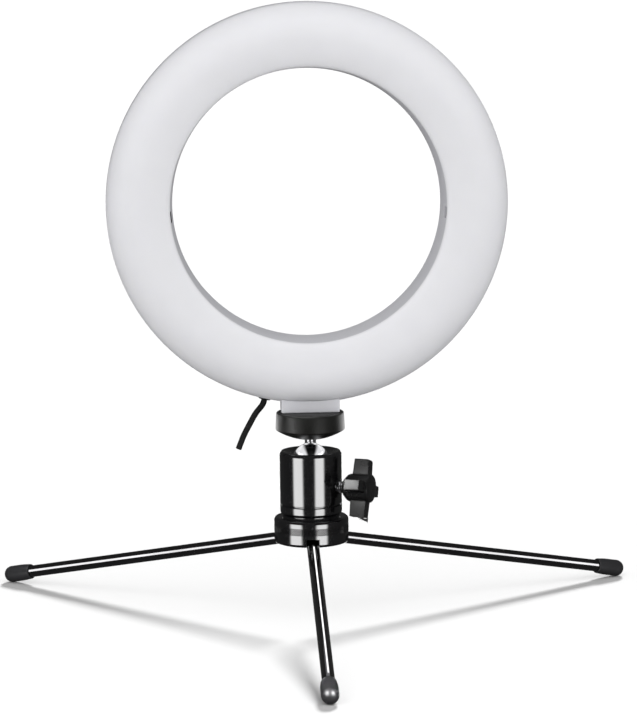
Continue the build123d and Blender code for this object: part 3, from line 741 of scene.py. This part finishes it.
def housing_base():
    """Base ring under the groove, with the spigot that screws up into the housing."""
    low, high = span("ball_head_base", UPRIGHT)
    radius = reach("ball_head_base", UPRIGHT)
    housing_low = span("ball_housing", UPRIGHT)[0]
    spigot_r = reach("ball_cup", UPRIGHT)
    bore = CAMERA_THREAD_BORE_R
    neck_r = radius - BASE_NECK_INSET
    neck_top = low + BASE_NECK_HEIGHT
    groove_r = radius - GROOVE_DEPTH
    stud_top = span("hub_stud", UPRIGHT)[1]
    base = lathe("housing_base", UPRIGHT, rounded(
        (bore, low, 0.1),
        (neck_r, low),
        (neck_r, neck_top, 0.2),
        (groove_r, neck_top, 0.2),
        (radius, neck_top + BASE_BEVEL, 0.35),
        (radius, housing_low - GROOVE_HEIGHT, 0.25),
        (groove_r, housing_low - GROOVE_HEIGHT),
        (groove_r, housing_low - 0.05),
        (spigot_r, housing_low - 0.05),
        (spigot_r, high, 0.3),
        (0, high),
        (0, stud_top + 0.8),
        (bore, stud_top + 0.8),
    ), 192)
    combine(base, rod("tool", KNOB, LOCK_HOLE_R, 2.3, 10.5, 64))
    finish_piece(base, "stand_and_housing", "black_anodised", GLOSS_BLACK, "ball_head_base")


def lock_screw():
    """M5 screw with a cut thread; its outer end is moulded into the knob."""
    low, high = span("lock_screw", KNOB)
    radius = reach("lock_screw", KNOB)
    cut_start, cut_end = low + 0.4, high - 5
    profile = [(0, low), (radius - 0.4, low)]
    profile += rows(radius, cut_start, cut_end, LOCK_THREAD_PITCH / 8)
    profile += [(radius, high), (0, high)]
    ripple = thread_ripple(LOCK_THREAD_PITCH, LOCK_THREAD_DEPTH, cut_start, cut_end)
    screw = lathe("lock_screw_thread", KNOB, profile, 64, ripple)
    finish_piece(screw, "lock_knob", "chrome_steel", CHROME, "lock_screw")


def wing_knob():
    """Moulded four-winged knob; the wings run into the hub with soft roots."""
    low, high = span("knob_grip", KNOB)
    hub = rounded(
        (0, low),
        (3.1, low, 0.3),
        (KNOB_HUB_R, low + 2.3, 1.2),
        (KNOB_HUB_R, high - 0.3, 0.7),
        (KNOB_HUB_R - 2.4, high, 0.8),
        (0, high),
        steps=8,
    )
    knob = lathe("wing_knob", KNOB, hub, 128)
    wing_low, wing_high = low + 3.55, high - 1.05
    across = KNOB.along.cross(KNOB.side)
    for quarter in range(4):
        angle = math.radians(WING_ROLL + 90 * quarter)
        side = KNOB.side * math.cos(angle) + across * math.sin(angle)
        spoke = Axis(KNOB.origin, KNOB.along, side)
        combine(knob, wing(spoke, wing_low, wing_high), "UNION")
    remesh = knob.modifiers.new("remesh", "REMESH")
    remesh.mode = "VOXEL"
    remesh.voxel_size = KNOB_CELL * MM
    smooth = knob.modifiers.new("smooth", "SMOOTH")
    smooth.factor = 0.5
    smooth.iterations = 7
    bake(knob)
    combine(knob, rod("tool", KNOB, KNOB_BORE_R, low - 1, low + KNOB_BORE_DEPTH, 64))
    shade(knob, 50)
    finish_piece(knob, "lock_knob", "black_plastic", KNOB_PLASTIC, "knob_grip")


def wing(axis, low, high):
    """One wing of the knob, slightly shorter at its tip than at its root."""
    across = axis.along.cross(axis.side)
    mesh = bmesh.new()
    bmesh.ops.create_cube(mesh, size=1.0)
    for v in mesh.verts:
        outer = v.co.x > 0
        inset = WING_TAPER if outer else 0
        height = high - inset if v.co.z > 0 else low + inset
        radius = KNOB_TIP_R if outer else 0.5
        place = axis.along * height + axis.side * radius + across * (v.co.y * WING_THICKNESS)
        v.co = (axis.origin + place) * MM
    tip_edges = [e for e in mesh.edges if all(
        (v.co / MM - axis.origin).dot(axis.side) > KNOB_TIP_R - 0.1 for v in e.verts
    )]
    long_edges = [e for e in tip_edges if abs((e.verts[0].co - e.verts[1].co).dot(across)) > 1 * MM]
    round_edges(mesh, long_edges, 1.0, 5)
    round_edges(mesh, mesh.edges[:], 0.3, 2)
    return to_object("tool_wing", mesh)


lock_wheel()
ball_and_stud()
housing()
housing_base()
lock_screw()
wing_knob()
carry_over("ball_cup", NYLON)
carry_over("clamp_plunger", STEEL)


# ---- Table stand ----
LEG_SIDES = ("front", "right", "left")


def leg_notch(side, outer, low):
    """Radial slot cutter for one leg."""
    hinge = Vector(joints[f"leg_{side}_fold"]["axis"]).normalized()
    outward = Axis(Vector((0, 0, 0)), Z, hinge.cross(Z))
    centre = ((LEG_SLOT_INNER_R + outer) / 2, 0, (low + LEG_SLOT_TOP) / 2)
    size = (outer - LEG_SLOT_INNER_R, LEG_SLOT_WIDTH, LEG_SLOT_TOP - low)
    return block("tool", outward, centre, size)


def knurl_band(name, radius, low, high):
    """Diamond-knurled band: flat-topped diamonds between crossing V-grooves."""
    mesh = bmesh.new()
    half_turn = math.pi / KNURL_DIAMONDS
    half_row = (high - low) / KNURL_ROWS
    made = {}

    def vertex(i, j, depth):
        """Point at column i and row j, counted in half diamonds."""
        key = (round(i % (2 * KNURL_DIAMONDS), 3), round(j, 3))
        if key not in made:
            place = point_on(UPRIGHT, radius - depth, low + half_row * j, half_turn * i)
            made[key] = mesh.verts.new(place)
        return made[key]

    edges = {0: [], KNURL_ROWS: []}
    for j in range(KNURL_ROWS + 1):
        for i in range(j % 2, 2 * KNURL_DIAMONDS, 2):
            steps = [(1, 0), (0, 1), (-1, 0), (0, -1)]
            if j in edges:
                steps = [(1, 0), (0, 1 if j == 0 else -1), (-1, 0)]
                edges[j] += [
                    vertex(i - KNURL_FLAT, j, 0),
                    vertex(i + KNURL_FLAT, j, 0),
                    vertex(i + 1, j, KNURL_DEPTH),
                ]
            tops = [vertex(i + a * KNURL_FLAT, j + b * KNURL_FLAT, 0) for a, b in steps]
            deep = [vertex(i + a, j + b, KNURL_DEPTH) for a, b in steps]
            mesh.faces.new(tops)
            sides = len(steps) if j not in edges else len(steps) - 1
            for k in range(sides):
                n = (k + 1) % len(steps)
                mesh.faces.new((tops[k], tops[n], deep[n], deep[k]))
    inner = {}
    for j, chain in edges.items():
        inner[j] = []
        for v in chain:
            spoke = Vector((v.co.x, v.co.y, 0)).normalized() * (radius - 0.9) * MM
            inner[j].append(mesh.verts.new((spoke.x, spoke.y, v.co.z)))
        join_rings(mesh, inner[j], chain)
    join_rings(mesh, inner[0], inner[KNURL_ROWS])
    return to_object(name, mesh, 8.0)


def hub():
    """Round hub cap, knurled round its waist and notched for the legs."""
    low, high = span("hub_shell", UPRIGHT)
    radius = reach("hub_shell", UPRIGHT)
    cavity_r = reach("leg_block", UPRIGHT) + 0.1
    cavity_top = span("leg_block", UPRIGHT)[1] + 0.05
    bore = CAMERA_THREAD_BORE_R
    groove_r = radius - 0.9
    cap = lathe("hub_cap", UPRIGHT, rounded(
        (cavity_r, low, 0.1),
        (radius, low, HUB_CORNER),
        (radius, KNURL_LOW, 0.12),
        (groove_r, KNURL_LOW),
        (groove_r, KNURL_HIGH),
        (radius, KNURL_HIGH, 0.12),
        (radius, high, HUB_CORNER),
        (bore, high, 0.2),
        (bore, cavity_top),
        (cavity_r, cavity_top),
        steps=8,
    ), 192)
    combine(cap, rod("tool", UPRIGHT, HEX_HEAD_R, cavity_top - 1, HEX_HEAD_TOP, 6))
    for side in LEG_SIDES:
        combine(cap, leg_notch(side, radius + 1, low - 1))
    finish_piece(cap, "stand_and_housing", "black_anodised", GLOSS_BLACK, "hub_shell")
    band = knurl_band("hub_knurl", radius, KNURL_LOW + 0.02, KNURL_HIGH - 0.02)
    finish_piece(band, "stand_and_housing", "black_anodised", GLOSS_BLACK)


def leg(side):
    """Plated rod with a rounded, drilled pivot end, and its rubber foot."""
    axis = leg_axis(side)
    rod_high = span(f"leg_rod_{side}", axis)[1]
    radius = reach(f"leg_rod_{side}", axis)
    end = arc(0, 0, radius, radius, -90, 0, 12)
    end[0] = (0.0, -radius)
    shaft = rounded((radius, rod_high - 4), (radius, rod_high, 0.4), (0, rod_high))
    bar = lathe(f"rod_{side}", axis, end + shaft, 72)
    hinge = Axis(axis.origin, axis.side, axis.along)
    combine(bar, rod("tool", hinge, PIVOT_HOLE_R, -radius - 1, radius + 1, 32))
    finish_piece(bar, f"leg_{side}", "black_chrome", BLACK_CHROME, f"leg_rod_{side}")

    mouth, toe = span(f"foot_cap_{side}", axis)
    centre = toe - FOOT_R
    nose = arc(0, centre, FOOT_R, FOOT_R, 0, 90, 16)
    nose[-1] = (0.0, centre + FOOT_R)
    outside = rounded(
        (radius + 0.03, mouth, 0.1),
        (FOOT_MOUTH_R, mouth, 0.35),
        (FOOT_R, mouth + 3.8, 1.5),
        (FOOT_R, centre - 1),
    )
    bore = [(0, rod_high + 0.05), (radius + 0.03, rod_high + 0.05)]
    cap = lathe(f"foot_{side}", axis, outside + nose + bore, 72)
    finish_piece(cap, f"leg_{side}", "cap_rubber", CAP_RUBBER, f"foot_cap_{side}")


hub()
for side in LEG_SIDES:
    leg(side)
for node, finish in {
    "leg_block": CAST,
    "pivot_pins": STEEL,
    "leg_retainer": STEEL,
    "retainer_screw": STEEL,
    "hub_stud": STEEL,
}.items():
    carry_over(node, finish)


# ---- Stage ----
CAMERA_DISTANCE = 1.50
CAMERA_AZIMUTH = math.radians(-3.45)
CAMERA_PITCH = math.radians(7.92)
CAMERA_ROLL = math.radians(0.70)
CAMERA_AIM = Vector((0, 0, 0.120))
CAMERA_LENS = 188.0
CAMERA_SHIFT = (0.0133, -0.0523)
PANEL_DISTANCE = 1.1
PANEL_AIM = Vector((0, 0, 0.05))
PANEL_SOFT_START = 0.55     # where a sheet starts to fade, as a share of its half width
FILL_EVEN = 1.10
FILL_SIDES = 0.75
FILL_TILT = (-0.12, 0.0, 0.14)
FILL_FRONT = -0.35          # directions with y below this get the whole fill
FILL_BACK = 0.15            # and with y above this only the share from behind
FILL_BEHIND = 0.22
MIRROR_DIM = 0.06
FLOOR_HALF = 20.0
FLOOR_WHITE = 0.55
KEY_STRENGTH = 6.6
KEY_SOFTNESS = 12.0
KEY_AZIMUTH = 170.0
KEY_ELEVATION = 30.0


def add_camera():
    """Long lens in front of the lamp, looking a little down on it."""
    forward = Vector((
        -math.sin(CAMERA_AZIMUTH) * math.cos(CAMERA_PITCH),
        math.cos(CAMERA_AZIMUTH) * math.cos(CAMERA_PITCH),
        -math.sin(CAMERA_PITCH),
    ))
    data = bpy.data.cameras.new("camera")
    data.lens = CAMERA_LENS
    data.shift_x, data.shift_y = CAMERA_SHIFT
    camera = bpy.data.objects.new("camera", data)
    camera.location = CAMERA_AIM - forward * CAMERA_DISTANCE
    camera.rotation_mode = "QUATERNION"
    roll = Matrix.Rotation(-CAMERA_ROLL, 3, "Z").to_quaternion()
    camera.rotation_quaternion = forward.to_track_quat("-Z", "Y") @ roll
    bpy.context.scene.collection.objects.link(camera)
    bpy.context.scene.camera = camera


def group(name, *pieces):
    """Collection of pieces, by name, for a light that only they receive or block."""
    made = bpy.data.collections.new(name)
    for piece in pieces:
        made.objects.link(bpy.data.objects[piece])
    return made


def flat_grid(name, half, finish):
    """Flat one-faced square, its half side in metres, that isn't part of the lamp."""
    mesh = bmesh.new()
    bmesh.ops.create_grid(mesh, x_segments=1, y_segments=1, size=half)
    data = bpy.data.meshes.new(name)
    mesh.to_mesh(data)
    mesh.free()
    data.materials.append(finish)
    made = bpy.data.objects.new(name, data)
    bpy.context.scene.collection.objects.link(made)
    return made


def sheet(name, centre, facing, half_width, half_height, strength, receivers, along=Z):
    """Glowing sheet that only some pieces mirror, its height near the given direction; in metres."""
    light = flat_grid(name, 1.0, glow(name, strength))
    light.location = centre
    light.rotation_mode = "QUATERNION"
    across = along.cross(facing).normalized()
    turn = Matrix((across, facing.cross(across), facing)).transposed()
    light.rotation_quaternion = turn.to_quaternion()
    light.scale = (half_width, half_height, 1)
    light.visible_camera = False
    light.visible_diffuse = False
    light.visible_shadow = False
    light.visible_transmission = False
    light.light_linking.receiver_collection = receivers


def towards(azimuth, elevation):
    """Direction from the object, in degrees; azimuth 0 points to the camera, positive to its right."""
    a, e = math.radians(azimuth) + CAMERA_AZIMUTH, math.radians(elevation)
    return Vector((math.sin(a) * math.cos(e), -math.cos(a) * math.cos(e), math.sin(e)))


def panel(name, azimuth, elevation, width, height, strength, receivers, distance=PANEL_DISTANCE):
    """Distant sheet placed and sized by angles in degrees."""
    direction = towards(azimuth, elevation)
    half_width = distance * math.tan(math.radians(width / 2))
    half_height = distance * math.tan(math.radians(height / 2))
    centre = PANEL_AIM + direction * distance
    sheet(name, centre, -direction, half_width, half_height, strength, receivers)


def glow(name, strength):
    """See-through emission that fades towards the panel's left and right edges."""
    made = bpy.data.materials.new(name)
    made.use_nodes = True
    made.cycles.emission_sampling = "NONE"
    tree = made.node_tree
    tree.nodes.clear()
    coordinates = tree.nodes.new("ShaderNodeTexCoord")
    split = tree.nodes.new("ShaderNodeSeparateXYZ")
    link(tree, coordinates, "Object", split, "Vector")
    side = tree.nodes.new("ShaderNodeMath")
    side.operation = "ABSOLUTE"
    link(tree, split, "X", side, 0)
    fade = ramp(tree, side, "Value", PANEL_SOFT_START, 1.0, strength, 0)
    fade.interpolation_type = "SMOOTHSTEP"
    emission = tree.nodes.new("ShaderNodeEmission")
    link(tree, fade, "Result", emission, "Strength")
    clear = tree.nodes.new("ShaderNodeBsdfTransparent")
    both = tree.nodes.new("ShaderNodeAddShader")
    link(tree, emission, "Emission", both, 0)
    link(tree, clear, "BSDF", both, 1)
    output = tree.nodes.new("ShaderNodeOutputMaterial")
    link(tree, both, "Shader", output, "Surface")
    return made


def add_floor():
    """Pale floor that neither shines on the pieces nor shows in their reflections."""
    white = bpy.data.materials.new("floor")
    white.use_nodes = True
    shader = white.node_tree.nodes["Principled BSDF"]
    shader.inputs["Base Color"].default_value = (FLOOR_WHITE, FLOOR_WHITE, FLOOR_WHITE, 1)
    shader.inputs["Roughness"].default_value = 0.9
    shader.inputs["Specular IOR Level"].default_value = 0.0
    floor = flat_grid("floor", FLOOR_HALF, white)
    floor.visible_glossy = False
    floor.visible_diffuse = False


def add_world():
    """Soft surroundings: white to the camera, a fill mostly from the front and sides, dim to mirrors."""
    world = bpy.data.worlds.new("studio")
    bpy.context.scene.world = world
    world.use_nodes = True
    tree = world.node_tree
    tree.nodes.clear()
    path = tree.nodes.new("ShaderNodeLightPath")
    coordinates = tree.nodes.new("ShaderNodeTexCoord")
    tilt = tree.nodes.new("ShaderNodeVectorMath")
    tilt.operation = "DOT_PRODUCT"
    tilt.inputs[1].default_value = FILL_TILT
    link(tree, coordinates, "Generated", tilt, 0)
    split = tree.nodes.new("ShaderNodeSeparateXYZ")
    link(tree, coordinates, "Generated", split, "Vector")
    sideways = tree.nodes.new("ShaderNodeMath")
    sideways.operation = "ABSOLUTE"
    link(tree, split, "X", sideways, 0)
    from_sides = ramp(tree, sideways, "Value", 0, 1, FILL_EVEN, FILL_EVEN + FILL_SIDES)
    tilted = tree.nodes.new("ShaderNodeMath")
    link(tree, from_sides, "Result", tilted, 0)
    link(tree, tilt, "Value", tilted, 1)
    in_front = ramp(tree, split, "Y", FILL_FRONT, FILL_BACK, 1, FILL_BEHIND)
    fill_strength = tree.nodes.new("ShaderNodeMath")
    fill_strength.operation = "MULTIPLY"
    link(tree, tilted, "Value", fill_strength, 0)
    link(tree, in_front, "Result", fill_strength, 1)
    backgrounds = []
    for strength in (0, MIRROR_DIM, 1.0):
        background = tree.nodes.new("ShaderNodeBackground")
        background.inputs["Color"].default_value = (1, 1, 1, 1)
        background.inputs["Strength"].default_value = strength
        backgrounds.append(background)
    fill, dim, seen = backgrounds
    link(tree, fill_strength, "Value", fill, "Strength")
    mirrored = tree.nodes.new("ShaderNodeMixShader")
    link(tree, path, "Is Glossy Ray", mirrored, "Fac")
    link(tree, fill, 0, mirrored, 1)
    link(tree, dim, 0, mirrored, 2)
    viewed = tree.nodes.new("ShaderNodeMixShader")
    link(tree, path, "Is Camera Ray", viewed, "Fac")
    link(tree, mirrored, 0, viewed, 1)
    link(tree, seen, 0, viewed, 2)
    output = tree.nodes.new("ShaderNodeOutputWorld")
    link(tree, viewed, "Shader", output, "Surface")


def add_key(blockers, receivers):
    """Low sun-like light from behind that only draws the blockers' shadows on the floor."""
    data = bpy.data.lights.new("key", "SUN")
    data.energy = KEY_STRENGTH
    data.angle = math.radians(KEY_SOFTNESS)
    key = bpy.data.objects.new("key", data)
    key.rotation_mode = "QUATERNION"
    key.rotation_quaternion = towards(KEY_AZIMUTH, KEY_ELEVATION).to_track_quat("Z", "Y")
    key.visible_glossy = False
    key.light_linking.blocker_collection = blockers
    key.light_linking.receiver_collection = receivers
    bpy.context.scene.collection.objects.link(key)


def light_both_sides():
    """Two tall soft strips, mirrored by every dark or bright piece at its own strength."""
    strips = ((gloss_parts, 6.2), (chrome_parts, 1.25), (satin_parts, 1.0), (knob_parts, 1.0))
    for step, (receivers, strength) in enumerate(strips):
        distance = PANEL_DISTANCE + 0.01 * step
        panel(f"left_strip_{receivers.name}", -48.5, -11, 46, 26, strength, receivers, distance)
        panel(f"right_strip_{receivers.name}", 32.5, -11, 42, 26, strength, receivers, distance)


def light_ball():
    """Soft tops for the ball, and small cards beside its neck."""
    panel("ball_left", -95, 49, 46, 26, 1.3, chrome_parts)
    panel("ball_right", 95, 49, 46, 26, 1.3, chrome_parts)
    panel("ball_front", 0, 66, 60, 34, 0.3, chrome_parts)
    for side, name in ((-1, "ball_card_left"), (1, "ball_card_right")):
        centre = Vector((side * 8.4, -1, 72.6)) * MM
        sheet(name, centre, -Z, 6 * MM, 14 * MM, 0.9, chrome_parts, Y)


def light_knob():
    """Card for the tip of the nearest wing, and a soft panel for the wings' faces."""
    wing_tip = (KNOB.origin + KNOB.along * 21.5 - Y * 10.5 - X * 4.7 + Z * 3.4) * MM
    glance = towards(-46, 24)
    sheet("knob_card", wing_tip + glance * 0.016, -glance, 4 * MM, 4 * MM, 14, knob_parts)
    panel("knob_front", -46, 24, 34, 40, 0.9, knob_parts)


def light_wheel():
    """Top light for the satin pieces, and three panels for the lock wheel's edge."""
    outside = PANEL_DISTANCE + 0.05
    panel("satin_top", -30, 60, 80, 40, 2.2, satin_parts)
    panel("wheel_left", -68, -5, 30, 30, 2.2, wheel_parts, outside)
    panel("wheel_left_rim", -140, -5, 60, 30, 2.0, wheel_parts, outside)
    panel("wheel_right_rim", 140, -5, 60, 30, 2.0, wheel_parts, outside)


def light_front_leg():
    """Thin card over the front leg, parallel to it, that draws a line of light down the rod."""
    front_leg = leg_axis("front")
    glance = towards(180, 32)
    facing = -(glance - front_leg.along * glance.dot(front_leg.along)).normalized()
    centre = (front_leg.origin + front_leg.along * 75) * MM + glance * 0.012
    sheet("front_leg_card", centre, facing, 0.9 * MM, 62 * MM, 6, leg_rods, front_leg.along)


rods = [f"rod_{side}" for side in LEG_SIDES]
feet = [f"foot_{side}" for side in LEG_SIDES]
gloss_parts = group("gloss_parts", "housing", "housing_base", "hub_cap", "hub_knurl")
knurl_parts = group("knurl_parts", "hub_knurl")
chrome_parts = group("chrome_parts", "ball_and_stud", "lock_screw_thread")
leg_rods = group("leg_rods", *rods)
satin_parts = group("satin_parts", "lock_wheel", "rubber_pad", "usb_cable", *feet)
wheel_parts = group("wheel_parts", "lock_wheel")
knob_parts = group("knob_parts", "wing_knob")
front_foot = group("front_foot_parts", "foot_front")

add_camera()
add_floor()
add_world()
add_key(group("key_blockers", *rods, *feet), group("key_receivers", "floor"))
light_both_sides()
panel("left_leg_line", -68, 6, 44, 27, 6, leg_rods)
panel("right_leg_line", 66, 6, 44, 27, 6, leg_rods)
panel("knurl_top", 0, 50, 150, 50, 5, knurl_parts)
light_ball()
light_knob()
light_wheel()
panel("rear_strip", 180, -17, 24, 26, 5, gloss_parts)
for azimuth, name in ((-38, "foot_left_shine"), (42, "foot_right_shine")):
    panel(name, azimuth, 30, 16, 30, 130, front_foot, PANEL_DISTANCE + 0.06)
light_front_leg()
bpy.context.scene.view_settings.view_transform = "Standard"
